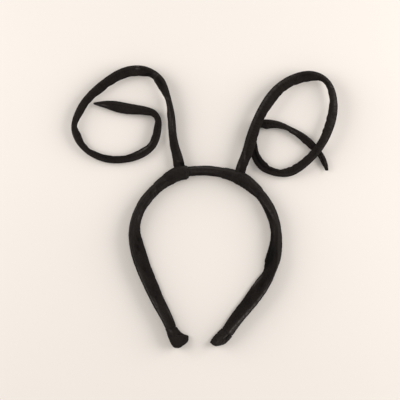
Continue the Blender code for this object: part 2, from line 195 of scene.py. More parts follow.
RIGHT_ROWS = (
    # across, along, lift, width, drop
    (-0.070, -0.039, 0.42, 0.90, 0.05),
    (-0.056, 0.059, 0.52, 0.92, 0.05),
    (-0.007, 0.182, 0.88, 0.94, 0.06),
    (0.038, 0.324, 1.00, 1.00, 0.06),
    (0.093, 0.475, 1.00, 0.94, 0.08),
    (0.159, 0.612, 0.98, 0.93, 0.12),
    (0.255, 0.762, 0.95, 1.02, 0.15),
    (0.375, 0.881, 0.92, 0.96, 0.18),
    (0.529, 0.965, 0.90, 0.96, 0.20),
    (0.700, 1.000, 0.90, 0.92, 0.22),
    (0.793, 0.986, 0.90, 0.76, 0.30),
    (0.884, 0.937, 0.90, 0.48, 0.38),
    (0.948, 0.862, 0.90, 0.54, 0.38),
    (0.996, 0.700, 0.88, 0.68, 0.32),
    (0.985, 0.527, 0.86, 0.84, 0.20),
    (0.940, 0.395, 0.86, 0.83, 0.10),
    (0.884, 0.288, 0.84, 0.78, 0.08),
    (0.797, 0.174, 0.74, 0.76, 0.12),
    (0.664, 0.051, 0.56, 0.79, 0.12),
    (0.503, -0.031, 0.38, 0.79, 0.06),
    (0.316, -0.018, 0.20, 0.67, -0.05),
    (0.196, 0.036, 0.08, 0.84, -0.12),
    (0.118, 0.137, 0.00, 0.78, -0.16),
    (0.085, 0.265, 0.00, 0.71, -0.16),
    (0.080, 0.395, 0.00, 0.69, -0.16),
    (0.108, 0.478, 0.00, 0.66, -0.16),
    (0.175, 0.522, 0.00, 0.73, -0.14),
    (0.266, 0.532, 0.02, 0.85, -0.10),
    (0.414, 0.505, 0.05, 0.61, -0.15),
    (0.527, 0.456, 0.05, 0.52, -0.22),
    (0.644, 0.399, 0.03, 0.68, -0.15),
    (0.781, 0.289, 0.00, 0.69, -0.10),
    (0.874, 0.165, 0.00, 0.53, -0.06),
    (0.906, 0.080, 0.00, 0.44, 0.00),
    (0.911, 0.034, 0.00, 0.28, 0.00),
)

# Walls of the wraps over the hoop's cloth, along the hoop: on its outer side and on its lip.
LEFT_WRAP_ROWS = (
    # along, outer, inner
    (0.1560, 0.0001, 0.0001),
    (0.1590, 0.0006, 0.0004),
    (0.1650, 0.0010, 0.0009),
    (0.1710, 0.0019, 0.0015),
    (0.1800, 0.0022, 0.0018),
    (0.1860, 0.0019, 0.0023),
    (0.1884, 0.0008, 0.0014),
    (0.1893, 0.0001, 0.0001),
)
RIGHT_WRAP_ROWS = (
    # along, outer, inner
    (0.2195, 0.0001, 0.0001),
    (0.2225, 0.0006, 0.0004),
    (0.2310, 0.0009, 0.0007),
    (0.2350, 0.0017, 0.0016),
    (0.2400, 0.0018, 0.0014),
    (0.2480, 0.0013, 0.0007),
    (0.2560, 0.0007, 0.0004),
    (0.2590, 0.0001, 0.0001),
)

# Sizes of the cloth's own relief
SLACK_DEPTH = 0.0016
WIRE_VALLEY = 0.0006
PUCKER_DEPTH = 0.0005
PUCKER_LENGTH = 0.0042
WRINKLE_DEPTH = 0.00045
PLEAT_DEPTH = 0.00030
LUMP_DEPTH = 0.00016
NAP_DEPTH = 0.00005
CUP_UNEVENNESS = 1.6
WRAP_UNEVENNESS = 1.5
HEM_WANDER = 0.00010
STITCH_LENGTH = 0.0027
VALLEY_PLACE = 1.9
VALLEY_SHARPNESS = 2.5

# Simulation of the loose cloth
CLOTH_ENLARGED = 20.0
CLOTH_SURPLUS = 0.06
CLOTH_QUALITY = 5
CLOTH_MASS = 0.3
CLOTH_STRETCH = 15.0
CLOTH_SHEAR = 5.0
CLOTH_BENDING = 0.05
CLOTH_FRAMES = 25
CLOTH_REACH = 0.0012

# Painted highlights along the crest of the hoop's ridge and along the wires
PAINTED_RIDGE_HIGHLIGHT = 0.15
PAINTED_RIDGE_HIGHLIGHT_PLACE = 0.35
PAINTED_RIDGE_HIGHLIGHT_REACH = 0.25
PAINTED_WIRE_HIGHLIGHT = 0.15
PAINTED_WIRE_HIGHLIGHT_PLACE = 0.18
PAINTED_WIRE_HIGHLIGHT_REACH = 0.12

Stations = namedtuple("Stations", "points forward inward columns bend")
Skin = namedtuple("Skin", "outline across facing")
Fold = namedtuple("Fold", "along across end_along end_across reach height")


class Path:
    """A smooth curve along a strip's outer edge, which also carries the table's other columns."""

    def __init__(self, rows, scale, start, inner_side):
        table = np.array(rows, dtype=float)
        places = table[:, :2] * scale + start
        steps = np.linalg.norm(np.diff(places, axis=0), axis=1)
        self.knots = np.concatenate(([0.0], np.cumsum(steps)))
        self.values = np.hstack((places, table[:, 2:]))
        self.bends = self.solve_bends()
        self.length = self.knots[-1]
        self.inner_side = inner_side

    def solve_bends(self):
        """Second derivatives at the knots of the natural cubic spline through the values."""
        count = len(self.knots)
        gaps = np.diff(self.knots)
        matrix = np.eye(count)
        target = np.zeros_like(self.values)
        for i in range(1, count - 1):
            before, after = gaps[i - 1], gaps[i]
            matrix[i, i - 1:i + 2] = before, 2 * (before + after), after
            rise_after = (self.values[i + 1] - self.values[i]) / after
            rise_before = (self.values[i] - self.values[i - 1]) / before
            target[i] = 6 * (rise_after - rise_before)
        return np.linalg.solve(matrix, target)

    def stations(self, distances):
        """Places, directions, inward directions, columns and inward bend at the distances."""
        spans = np.clip(np.searchsorted(self.knots, distances) - 1, 0, len(self.knots) - 2)
        gaps = (self.knots[spans + 1] - self.knots[spans])[:, None]
        after = (distances[:, None] - self.knots[spans][:, None]) / gaps
        before = 1 - after
        low, high = self.values[spans], self.values[spans + 1]
        low_bend, high_bend = self.bends[spans], self.bends[spans + 1]
        bulge = (before ** 3 - before) * low_bend + (after ** 3 - after) * high_bend
        value = before * low + after * high + bulge * gaps ** 2 / 6
        turn = (3 * after ** 2 - 1) * high_bend - (3 * before ** 2 - 1) * low_bend
        slope = ((high - low) / gaps + turn * gaps / 6)[:, :2]
        speed = np.linalg.norm(slope, axis=1)[:, None]
        forward = slope / speed
        inward = self.inner_side * np.stack((forward[:, 1], -forward[:, 0]), axis=1)
        curve = (before * low_bend + after * high_bend)[:, :2]
        bend = (curve * inward).sum(axis=1) / speed[:, 0] ** 2
        return Stations(value[:, :2], forward, inward, value[:, 2:], bend)


class Waves:
    """Smooth, repeatable unevenness about 0: a sum of waves of random direction and phase."""

    def __init__(self, seed, shortest, longest, dimensions, count=22):
        random = np.random.default_rng(seed)
        lengths = shortest * (longest / shortest) ** random.random(count)
        directions = random.normal(size=(count, dimensions))
        directions /= np.linalg.norm(directions, axis=1)[:, None]
        self.turns = 2 * math.pi * directions / lengths[:, None]
        self.phases = 2 * math.pi * random.random(count)

    def at(self, *coordinates):
        places = np.stack(np.broadcast_arrays(*coordinates), axis=-1)
        return np.sin(places @ self.turns.T + self.phases).sum(axis=-1) / math.sqrt(len(self.phases) / 2)


def ease(share):
    """A smooth step from 0 to 1 as the share goes from 0 to 1."""
    share = np.clip(share, 0.0, 1.0)
    return share * share * (3 - 2 * share)


def spread(start, end, step):
    """Evenly spaced distances from start to end, about a step apart."""
    return np.linspace(start, end, max(2, round(abs(end - start) / step) + 1))


def hull_outlines(circles, arc_steps, run_steps):
    """Outlines (u, z) round hulls of circles (u, z, radius): an arc round each, joined by runs."""
    centres, radii = circles[:, :, :2], circles[:, :, 2]
    spans = np.roll(centres, -1, axis=1) - centres
    reaches = np.linalg.norm(spans, axis=2)
    spans = spans / reaches[..., None]
    parts = (radii - np.roll(radii, -1, axis=1)) / reaches
    sides = np.stack((spans[..., 1], -spans[..., 0]), axis=2)
    normals = spans * parts[..., None] + sides * np.sqrt(1 - parts ** 2)[..., None]
    ends = np.arctan2(normals[..., 1], normals[..., 0])
    starts = np.roll(ends, 1, axis=1)
    sweeps = (ends - starts) % (2 * math.pi)
    arc_shares = np.linspace(0, 1, arc_steps + 1)
    arcs = []
    for i in range(circles.shape[1]):
        angles = starts[:, i, None] + sweeps[:, i, None] * arc_shares
        rim = np.stack((np.cos(angles), np.sin(angles)), axis=2)
        arcs.append(centres[:, i, None] + radii[:, i, None, None] * rim)
    pieces = []
    for i, arc in enumerate(arcs):
        next_start = arcs[(i + 1) % len(arcs)][:, :1]
        shares = (np.arange(run_steps[i]) + 1)[:, None] / (run_steps[i] + 1)
        pieces += [arc, arc[:, -1:] * (1 - shares) + next_start * shares]
    return np.concatenate(pieces, axis=1)


def outline_normals(outline):
    """Outward directions (u, z) round each outline, which runs counter-clockwise."""
    along = np.roll(outline, -1, axis=1) - np.roll(outline, 1, axis=1)
    along /= np.linalg.norm(along, axis=2)[..., None]
    return np.stack((along[..., 1], -along[..., 0]), axis=2)


def skin_of(outline, width):
    """An outline with each point's share across and its facing (u, z)."""
    return Skin(outline, outline[..., 0] / width[:, None], outline_normals(outline))


def fold_relief(folds, along, across, width):
    """Height that folds give at a place: each is a line that fades to both sides and its ends."""
    relief = np.zeros(np.broadcast(along, across).shape)
    for row in folds:
        fold = Fold(*row)
        start = np.array((fold.along, fold.across * width))
        span = np.array((fold.end_along, fold.end_across * width)) - start
        offset = np.stack(np.broadcast_arrays(along - start[0], across * width - start[1]), axis=-1)
        share = np.clip(offset @ span / (span @ span), 0, 1)
        gap = np.linalg.norm(offset - share[..., None] * span, axis=-1)
        fade = 0.4 + 0.6 * np.sin(math.pi * share)
        relief += fold.height * fade * np.exp(-(gap / fold.reach) ** 2)
    return relief


def place(stations, outline, inward=None):
    """Points in space of outlines (u, z) at stations."""
    inward = stations.inward if inward is None else inward
    flat = stations.points[:, None] + inward[:, None] * outline[..., :1]
    return np.concatenate((flat + shift, np.maximum(outline[..., 1:], FLOOR_GAP)), axis=2)


def dome(ring, centre, outward, bulge):
    """Rings that close an end, from a ring to near its centre, bulging outward."""
    rings = []
    for step in range(1, CLOSING_RINGS + 1):
        angle = math.pi / 2 * step / (CLOSING_RINGS + 0.25)
        rings.append(centre + (ring - centre) * math.cos(angle) + outward * bulge * math.sin(angle))
    return rings


def close_ends(grid, start_bulge, end_bulge):
    """A grid of rings with a dome of rings added at both ends."""
    first, last = grid[0], grid[-1]
    back = unit(first.mean(axis=0) - grid[3].mean(axis=0))
    on = unit(last.mean(axis=0) - grid[-4].mean(axis=0))
    before = dome(first, first.mean(axis=0), back, start_bulge)[::-1]
    after = dome(last, last.mean(axis=0), on, end_bulge)
    return np.concatenate((np.array(before), grid, np.array(after)))


def unit(vector):
    return vector / np.linalg.norm(vector)


def skin_object(name, grid, painted_light_and_shade, looped=False):
    """A closed mesh over a grid of rings, with the cloth's own coordinates and its painted light and
    shade on it.
    """
    ring_count, ring_size = grid.shape[:2]
    numbers = np.arange(ring_count * ring_size).reshape(ring_count, ring_size)
    wrapped = np.hstack((numbers, numbers[:, :1]))
    around = np.linalg.norm(np.diff(np.concatenate((grid, grid[:, :1]), axis=1), axis=1), axis=2)
    girth = np.hstack((np.zeros((ring_count, 1)), np.cumsum(around, axis=1)))
    middles = grid.mean(axis=1)
    along = np.concatenate(([0.0], np.cumsum(np.linalg.norm(np.diff(middles, axis=0), axis=1))))
    along = np.repeat(along[:, None], ring_size + 1, axis=1)
    if looped:
        wrapped = np.vstack((wrapped, wrapped[:1]))
        girth = np.vstack((girth, girth[:1]))
        along = np.vstack((along, along[-1:] + BINDING_STEP))
    corners = [quad_corners(values) for values in (wrapped, along, girth)]
    faces = corners[0].astype(int).tolist()
    places = np.stack((corners[1].ravel(), corners[2].ravel()), axis=1)
    points = grid.reshape(-1, 3)
    if not looped:
        ends = [(wrapped[0, ::-1], along[0, 0]), (wrapped[-1], along[-1, 0])]
        for edge, level in ends:
            middle = len(points)
            points = np.vstack((points, points[edge[:-1]].mean(axis=0)))
            fan = [(int(a), int(b), middle) for a, b in zip(edge, edge[1:])]
            faces += fan
            places = np.vstack((places, np.tile((level, 0.0), (3 * len(fan), 1))))
    mesh = bpy.data.meshes.new(name)
    mesh.from_pydata(points.tolist(), [], faces)
    layer = mesh.attributes.new("cloth_place", "FLOAT_VECTOR", "CORNER")
    layer.data.foreach_set("vector", np.pad(places, ((0, 0), (0, 1))).ravel())
    # Painted light and shade, above 0 painted highlight and below 0 painted shade, for the material
    light_and_shade_layer = mesh.attributes.new("painted_light_and_shade", "FLOAT", "POINT")
    light_and_shade_layer.data.foreach_set("value", np.pad(painted_light_and_shade.ravel(), (0, len(points) - painted_light_and_shade.size)))
    if signed_volume(mesh) < 0:
        mesh.flip_normals()
    mesh.shade_smooth()
    piece = bpy.data.objects.new(name, mesh)
    bpy.context.scene.collection.objects.link(piece)
    return piece


def quad_corners(values):
    """The four corners of each face of a grid, one row for each face."""
    corners = (values[:-1, :-1], values[:-1, 1:], values[1:, 1:], values[1:, :-1])
    return np.stack([corner.ravel() for corner in corners], axis=1)


def signed_volume(mesh):
    """Six times the volume inside the mesh, below 0 where its faces point inwards."""
    mesh.calc_loop_triangles()
    points = np.empty(len(mesh.vertices) * 3)
    mesh.vertices.foreach_get("co", points)
    corners = np.empty(len(mesh.loop_triangles) * 3, dtype=np.int32)
    mesh.loop_triangles.foreach_get("vertices", corners)
    a, b, c = np.moveaxis(points.reshape(-1, 3)[corners.reshape(-1, 3)], 1, 0)
    return float((a * np.cross(b, c)).sum())


def tip_scale(distances, rounding):
    """How much of its full size a section has near the hoop's blunt tip, and about which centre."""
    share = 1 - np.clip(distances / rounding.length, 0, 1)
    size = 1 - (1 - rounding.flat_share) * share ** rounding.power
    return np.stack((size, np.full(len(distances), rounding.centre)), axis=1)


def smooth_between(stops, values, distances):
    """The values at the stops, joined by smooth steps."""
    spans = np.clip(np.searchsorted(stops, distances) - 1, 0, len(stops) - 2)
    share = (distances - stops[spans]) / (stops[spans + 1] - stops[spans])
    return values[spans] + (values[spans + 1] - values[spans]) * ease(share)


def wrap_walls(rows, distances):
    """A wrap's outer and inner walls at the distances, and 0 beyond its ends."""
    table = np.array(rows)
    covered = (distances >= table[0, 0]) & (distances <= table[-1, 0])
    return [smooth_between(table[:, 0], table[:, column], distances) * covered for column in (1, 2)]


def wrap_lift(distances):
    """How far the wraps' cloth lifts the hoop's cloth off the floor."""
    walls = [wrap_walls(rows, distances)[0] for rows in (LEFT_WRAP_ROWS, RIGHT_WRAP_ROWS)]
    thickest = np.maximum(*walls)
    return thickest + 2 * WRAP_GAP * (thickest > 0)


def band_skin(distances, columns, outer_grow, inner_grow, tip_scales):
    """The hoop's sections, with their outer side and lip moved outwards by the two grows."""
    width = columns[:, 0] * BAND_DEPTH
    top = columns[:, 1] * BAND_HEIGHT
    base = wrap_lift(distances)
    ridge = RIDGE_RADIUS + columns[:, 2] * (width - 2 * RIDGE_RADIUS)
    full = np.ones(len(distances))
    circles = np.stack((
        np.stack((ridge, top - RIDGE_RADIUS, RIDGE_RADIUS + outer_grow), axis=1),
        np.stack((FOOT_RADIUS * full, base + FOOT_RADIUS, FOOT_RADIUS + outer_grow), axis=1),
        np.stack((width - LIP_RADIUS, base + LIP_RADIUS, LIP_RADIUS + inner_grow), axis=1),
    ), axis=1)
    outline = hull_outlines(circles, BAND_ARC_STEPS, BAND_RUN_STEPS)
    middle = np.stack((width * tip_scales[:, 1], top / 2), axis=1)[:, None]
    outline = middle + (outline - middle) * tip_scales[:, :1, None]
    return skin_of(outline, width)


def band_inward(stations):
    """Inward directions with the sections' swing about the outer edge."""
    swing = np.radians(stations.columns[:, 3])[:, None]
    return stations.inward * np.cos(swing) - stations.forward * np.sin(swing)


def slope_share():
    """Each outline point's share of the way from the lip to the ridge, and 0 off that slope."""
    share = np.zeros(3 * (BAND_ARC_STEPS + 1) + sum(BAND_RUN_STEPS))
    steps = BAND_RUN_STEPS[2]
    share[-steps:] = (np.arange(steps) + 1) / (steps + 1)
    return share


def pucker_relief(skin, distances, bend, width, seed):
    """Cross folds of cloth that is crowded on the inner side of a bend."""
    crowding = np.clip(bend * width, 0, 1)
    crowding = np.convolve(np.pad(crowding, 6, mode="edge"), np.full(13, 1 / 13), mode="valid")
    drift = Waves(seed, 0.006, 0.03, 2).at(distances[:, None], skin.across * width[:, None] * 2)
    phase = math.pi * distances[:, None] / PUCKER_LENGTH + 1.5 * drift
    billow = 0.6 - np.abs(np.sin(phase))
    level = np.abs(skin.facing[..., 1]) ** 1.5
    return PUCKER_DEPTH * crowding[:, None] * ease(skin.across * 1.2 - 0.1) * level * billow


def cloth_relief(skin, distances, space, seed):
    """Lumps, cross wrinkles and nap that all the cloth has."""
    x, y, z = np.moveaxis(space, 2, 0)
    lumps = Waves(seed + 1, 0.005, 0.016, 3).at(x, y, z)
    wrinkles = Waves(seed + 2, 0.0035, 0.011, 2).at(distances[:, None], skin.across * 0.004)
    calm = ease(0.5 + 0.6 * Waves(seed + 3, 0.02, 0.05, 1).at(distances[:, None]))
    nap = Waves(seed + 4, 0.0011, 0.0022, 3, 30).at(x, y, z)
    cross = (0.5 - np.abs(wrinkles)) * calm * ease(skin.across * 1.5 - 0.1)
    level = 0.25 + 0.75 * np.abs(skin.facing[..., 1])
    return level * (LUMP_DEPTH * lumps + WRINKLE_DEPTH * 0.5 * cross) + NAP_DEPTH * nap


def free_of_floor(skin):
    """1 on what can move, 0 on the flat underside that rests on the floor."""
    return ease(1.4 + 1.6 * skin.facing[..., 1])


def raise_skin(skin, relief):
    return skin.outline + skin.facing * relief[..., None]


# Folds in the cloth. Each row says where a fold starts and ends, along its strip in metres and
# across it as a share of the section's width, how far it reaches to each side, and its height,
# which is below 0 for a crease. In the cups, along starts at the tip.
BAND_FOLDS = (
    # along, across, end_along, end_across, reach, height
    (0.0350, 0.22, 0.0490, 0.52, 0.0007, 0.00040),
    (0.0400, 0.40, 0.0520, 0.66, 0.0008, -0.00035),
    (0.0490, 0.32, 0.0630, 0.30, 0.0009, -0.00050),
    (0.0240, 0.86, 0.0340, 0.84, 0.0006, 0.00030),
    (0.0640, 0.70, 0.0760, 0.50, 0.0009, -0.00035),
    (0.0860, 0.30, 0.1080, 0.10, 0.0009, 0.00045),
    (0.0960, 0.80, 0.1080, 0.62, 0.0009, -0.00035),
    (0.1190, 0.84, 0.1350, 0.80, 0.0008, 0.00040),
    (0.1370, 0.88, 0.1500, 0.84, 0.0008, 0.00040),
    (0.1450, 0.78, 0.1500, 0.34, 0.0006, -0.00045),
    (0.1495, 0.84, 0.1545, 0.40, 0.0006, -0.00045),
    (0.1930, 0.24, 0.2150, 0.24, 0.0006, 0.00030),
    (0.1930, 0.62, 0.2140, 0.60, 0.0006, 0.00030),
    (0.2620, 0.74, 0.2900, 0.44, 0.0010, 0.00060),
    (0.2710, 0.90, 0.2870, 0.74, 0.0013, -0.00090),
    (0.2960, 0.90, 0.3310, 0.86, 0.0016, -0.00090),
    (0.3368, 1.00, 0.3396, 1.00, 0.0024, -0.00150),
    (0.3384, 1.00, 0.3386, 1.00, 0.0010, -0.00070),
    (0.3245, 1.00, 0.3305, 1.00, 0.0034, 0.00090),
    (0.3400, 0.06, 0.3650, 0.13, 0.0010, 0.00040),
    (0.3650, 0.13, 0.3880, 0.25, 0.0011, 0.00060),
    (0.3880, 0.25, 0.4000, 0.37, 0.0009, 0.00050),
    (0.3450, 0.90, 0.3560, 0.84, 0.0008, 0.00040),
    (0.3560, 0.62, 0.3640, 0.86, 0.0009, -0.00040),
    (0.3760, 0.52, 0.3850, 0.80, 0.0009, -0.00035),
)
LEFT_CUP_FOLDS = (
    # along, across, end_along, end_across, reach, height
    (0.0182, 0.30, 0.0186, 0.98, 0.0005, -0.00070),
    (0.0184, 0.62, 0.0150, 0.50, 0.0005, -0.00060),
    (0.0150, 0.50, 0.0132, 0.36, 0.0006, -0.00045),
    (0.0190, 0.18, 0.0165, 0.36, 0.0013, 0.00060),
    (0.0128, 0.97, 0.0136, 0.62, 0.0007, -0.00130),
    (0.0122, 1.02, 0.0060, 0.92, 0.0020, 0.00070),
    (0.0135, 0.18, 0.0120, 0.30, 0.0008, -0.00050),
    (0.0030, 0.70, 0.0070, 0.64, 0.0007, -0.00050),
    (0.0168, 0.00, 0.0160, 0.12, 0.0007, -0.00070),
)
RIGHT_CUP_FOLDS = (
    # along, across, end_along, end_across, reach, height
    (0.0150, 0.38, 0.0095, 0.44, 0.0006, 0.00070),
    (0.0148, 0.30, 0.0102, 0.35, 0.0006, -0.00110),
    (0.0118, 0.30, 0.0085, 0.16, 0.0006, -0.00080),
    (0.0080, 0.16, 0.0030, 0.34, 0.0013, 0.00060),
    (0.0100, 0.62, 0.0060, 0.90, 0.0007, -0.00060),
    (0.0030, 0.50, 0.0050, 0.86, 0.0006, -0.00060),
    (0.0150, 0.02, 0.0138, 0.10, 0.0007, -0.00080),
)
LEFT_WRAP_FOLDS = (
    # along, across, end_along, end_across, reach, height
    (0.1760, 0.02, 0.1720, 0.52, 0.0009, 0.00050),
    (0.1800, 0.05, 0.1790, 0.48, 0.0006, -0.00045),
    (0.1850, 0.03, 0.1862, 0.55, 0.0008, 0.00045),
    (0.1660, 0.50, 0.1710, 0.95, 0.0008, -0.00040),
    (0.1790, 0.75, 0.1850, 1.00, 0.0007, 0.00055),
    (0.1620, 0.20, 0.1700, 0.10, 0.0007, -0.00045),
)
RIGHT_WRAP_FOLDS = (
    # along, across, end_along, end_across, reach, height
    (0.2300, 0.03, 0.2280, 0.50, 0.0007, 0.00040),
    (0.2370, 0.03, 0.2400, 0.46, 0.0006, -0.00050),
    (0.2420, 0.02, 0.2510, 0.38, 0.0009, 0.00055),
    (0.2500, 0.02, 0.2570, 0.30, 0.0007, -0.00040),
    (0.2350, 0.72, 0.2400, 1.00, 0.0008, 0.00060),
    (0.2450, 0.70, 0.2560, 0.94, 0.0008, -0.00040),
)
LEFT_ANTENNA_FOLDS = (
    # along, across, end_along, end_across, reach, height
    (0.0060, 0.10, 0.0098, 0.22, 0.0014, -0.00160),
    (0.0095, 0.32, 0.0150, 0.16, 0.0007, 0.00050),
    (0.0340, 0.55, 0.0600, 0.30, 0.0008, 0.00045),
    (0.0400, 0.84, 0.0600, 0.80, 0.0007, 0.00030),
    (0.0615, 0.40, 0.0700, 0.80, 0.0006, 0.00045),
    (0.0770, 0.52, 0.0875, 0.60, 0.0018, -0.00090),
    (0.0893, 0.12, 0.0900, 0.95, 0.0005, 0.00060),
    (0.0915, 0.25, 0.0925, 0.90, 0.0006, -0.00040),
    (0.0930, 0.70, 0.0985, 0.86, 0.0010, -0.00080),
    (0.1180, 0.16, 0.1240, 0.22, 0.0006, -0.00045),
    (0.1420, 0.30, 0.1480, 0.75, 0.0007, 0.00035),
    (0.1640, 0.75, 0.1720, 0.85, 0.0010, -0.00060),
    (0.1860, 0.20, 0.1950, 0.60, 0.0008, 0.00040),
    (0.2050, 0.70, 0.2120, 0.30, 0.0006, 0.00035),
    (0.2580, 0.68, 0.2850, 0.74, 0.0010, 0.00040),
    (0.3085, 0.18, 0.3130, 0.80, 0.0006, 0.00055),
    (0.3115, 0.80, 0.3200, 0.90, 0.0009, -0.00070),
    (0.3560, 0.22, 0.3620, 0.35, 0.0005, -0.00040),
    (0.3570, 0.55, 0.3640, 0.60, 0.0005, -0.00035),
)
RIGHT_ANTENNA_FOLDS = (
    # along, across, end_along, end_across, reach, height
    (0.0060, 0.14, 0.0120, 0.18, 0.0006, 0.00045),
    (0.0165, 0.50, 0.0245, 0.12, 0.0006, 0.00050),
    (0.0520, 0.30, 0.0600, 0.15, 0.0007, 0.00035),
    (0.1190, 0.10, 0.1185, 0.52, 0.0005, 0.00035),
    (0.1235, 0.90, 0.1310, 0.80, 0.0008, -0.00060),
    (0.1355, 0.60, 0.1390, 0.08, 0.0005, 0.00040),
    (0.1385, 0.70, 0.1425, 0.10, 0.0005, -0.00035),
    (0.1410, 0.75, 0.1455, 0.15, 0.0005, 0.00040),
    (0.1500, 0.84, 0.1660, 0.88, 0.0008, 0.00040),
    (0.1670, 0.60, 0.1720, 0.30, 0.0006, -0.00040),
    (0.2440, 0.60, 0.2540, 0.30, 0.0007, -0.00045),
    (0.2550, 0.30, 0.2620, 0.70, 0.0008, 0.00040),
    (0.3340, 0.28, 0.3520, 0.34, 0.0005, -0.00040),
    (0.3360, 0.62, 0.3530, 0.66, 0.0005, -0.00040),
    (0.3400, 0.48, 0.3560, 0.50, 0.0005, 0.00030),
    (0.3770, 0.30, 0.3870, 0.45, 0.0005, 0.00030),
    (0.3780, 0.65, 0.3860, 0.60, 0.0005, -0.00030),
)

# Light and shade painted into the cloth's colour, in the same form: above 0 a painted highlight,
# below 0 painted shade, as on dark edges, in creases and beside the stems. The last number is how
# strongly it is painted.
BAND_PAINTED_LIGHT_AND_SHADE = (
    # along, across, end_along, end_across, reach, strength
    (0.0200, 0.00, 0.1000, 0.00, 0.0012, -1.8),
    (0.0220, 0.19, 0.0500, 0.17, 0.0006, 0.7),
    (0.0450, 0.16, 0.0850, 0.15, 0.0005, 0.8),
    (0.0850, 0.14, 0.1120, 0.07, 0.0006, 0.8),
    (0.0490, 0.32, 0.0630, 0.30, 0.0007, -0.8),
    (0.0350, 0.20, 0.0480, 0.46, 0.0006, 0.4),
    (0.0240, 0.89, 0.0350, 0.86, 0.0006, 0.5),
    (0.1190, 0.78, 0.1340, 0.74, 0.0008, 0.45),
    (0.1370, 0.86, 0.1500, 0.84, 0.0006, 0.55),
    (0.1450, 0.70, 0.1500, 0.36, 0.0006, -0.6),
    (0.1510, 0.80, 0.1560, 0.40, 0.0005, 0.4),
    (0.1900, 0.00, 0.2280, 0.00, 0.0013, -1.6),
    (0.1900, 1.00, 0.2280, 1.00, 0.0010, -1.3),
    (0.1900, 0.76, 0.2260, 0.76, 0.0015, 0.12),
    (0.1920, 0.25, 0.2150, 0.25, 0.0006, 0.45),
    (0.1920, 0.62, 0.2150, 0.60, 0.0006, 0.45),
    (0.2620, 0.74, 0.2900, 0.43, 0.0009, 0.5),
    (0.2730, 0.84, 0.2880, 0.74, 0.0011, -0.8),
    (0.2920, 0.92, 0.3100, 0.84, 0.0014, -1.0),
    (0.3080, 0.80, 0.3300, 0.76, 0.0028, -1.3),
    (0.3280, 0.84, 0.3380, 0.92, 0.0015, -1.0),
    (0.3000, 0.40, 0.3390, 0.40, 0.0040, -0.45),
    (0.3260, 0.07, 0.3440, 0.08, 0.0006, 0.35),
    (0.3380, 0.08, 0.3540, 0.11, 0.0007, 0.6),
    (0.3500, 0.11, 0.3680, 0.17, 0.0008, 0.9),
    (0.3660, 0.17, 0.3860, 0.27, 0.0009, 1.1),
    (0.3840, 0.27, 0.4000, 0.40, 0.0008, 1.2),
    (0.3400, 0.00, 0.4000, 0.00, 0.0009, -1.4),
    (0.3420, 0.88, 0.3560, 0.92, 0.0006, 0.7),
    (0.3560, 0.60, 0.3720, 0.60, 0.0030, -0.3),
)
LEFT_CUP_PAINTED_LIGHT_AND_SHADE = (
    # along, across, end_along, end_across, reach, strength
    (0.0197, 0.36, 0.0198, 0.78, 0.0005, -1.2),
    (0.0184, 0.28, 0.0178, 0.48, 0.0010, 0.5),
    (0.0140, 0.23, 0.0142, 0.27, 0.0006, -0.9),
    (0.0060, 0.03, 0.0150, 0.03, 0.0008, -0.6),
    (0.0020, 0.80, 0.0022, 0.82, 0.0005, 0.6),
)
RIGHT_CUP_PAINTED_LIGHT_AND_SHADE = (
    # along, across, end_along, end_across, reach, strength
    (0.0155, 0.38, 0.0100, 0.44, 0.0007, 1.0),
    (0.0155, 0.16, 0.0118, 0.20, 0.0012, -1.0),
    (0.0148, 0.30, 0.0102, 0.35, 0.0006, -1.8),
    (0.0112, 0.14, 0.0106, 0.20, 0.0006, -1.2),
    (0.0085, 0.40, 0.0020, 0.45, 0.0022, 0.3),
)
LEFT_WRAP_PAINTED_LIGHT_AND_SHADE = (
    # along, across, end_along, end_across, reach, strength
    (0.1640, 0.00, 0.1780, 0.00, 0.0010, -0.8),
    (0.1640, 0.30, 0.1680, 0.45, 0.0007, 0.3),
)
RIGHT_WRAP_PAINTED_LIGHT_AND_SHADE = (
    # along, across, end_along, end_across, reach, strength
    (0.2400, 0.05, 0.2560, 0.05, 0.0006, 0.3),
    (0.2330, 0.95, 0.2450, 0.98, 0.0008, -0.6),
)
LEFT_ANTENNA_PAINTED_LIGHT_AND_SHADE = (
    # along, across, end_along, end_across, reach, strength
    (0.0070, 0.10, 0.0100, 0.26, 0.0014, -3.00),
    (0.0105, 0.20, 0.0125, 0.60, 0.0007, 0.85),
    (0.0360, 0.40, 0.0480, 0.44, 0.0006, 1.02),
    (0.0350, 0.72, 0.0620, 0.66, 0.0009, 0.59),
    (0.0640, 0.30, 0.0670, 0.80, 0.0008, 0.85),
    (0.0760, 0.50, 0.0880, 0.62, 0.0014, -0.80),
    (0.0890, 0.10, 0.0896, 0.95, 0.0004, 1.19),
    (0.0914, 0.30, 0.0928, 0.70, 0.0008, 1.02),
    (0.0930, 0.68, 0.1030, 0.84, 0.0011, -0.80),
    (0.1066, 0.09, 0.1104, 0.09, 0.0004, 1.40),
    (0.1062, 0.34, 0.1106, 0.34, 0.0005, 1.90),
    (0.2620, 0.70, 0.2850, 0.78, 0.0011, 0.77),
    (0.3150, 0.86, 0.3200, 0.90, 0.0009, -1.19),
    (0.3570, 0.70, 0.3680, 0.60, 0.0009, 0.85),
)
RIGHT_ANTENNA_PAINTED_LIGHT_AND_SHADE = (
    # along, across, end_along, end_across, reach, strength
    (0.0080, 0.30, 0.0112, 0.30, 0.0006, 0.55),
    (0.0165, 0.55, 0.0235, 0.26, 0.0006, 0.55),
    (0.0450, 0.18, 0.1050, 0.18, 0.0014, 0.42),
    (0.1250, 0.35, 0.2000, 0.35, 0.0026, 0.37),
    (0.1360, 0.55, 0.1395, 0.10, 0.0005, 0.85),
    (0.1415, 0.65, 0.1455, 0.15, 0.0005, 0.85),
    (0.1500, 0.40, 0.1650, 0.36, 0.0014, 0.59),
    (0.1300, 0.90, 0.1500, 0.90, 0.0009, -1.36),
    (0.2550, 0.50, 0.2780, 0.50, 0.0030, -0.85),
    (0.3380, 0.50, 0.3500, 0.55, 0.0010, 0.59),
    (0.3760, 0.45, 0.3880, 0.50, 0.0008, 0.77),
)


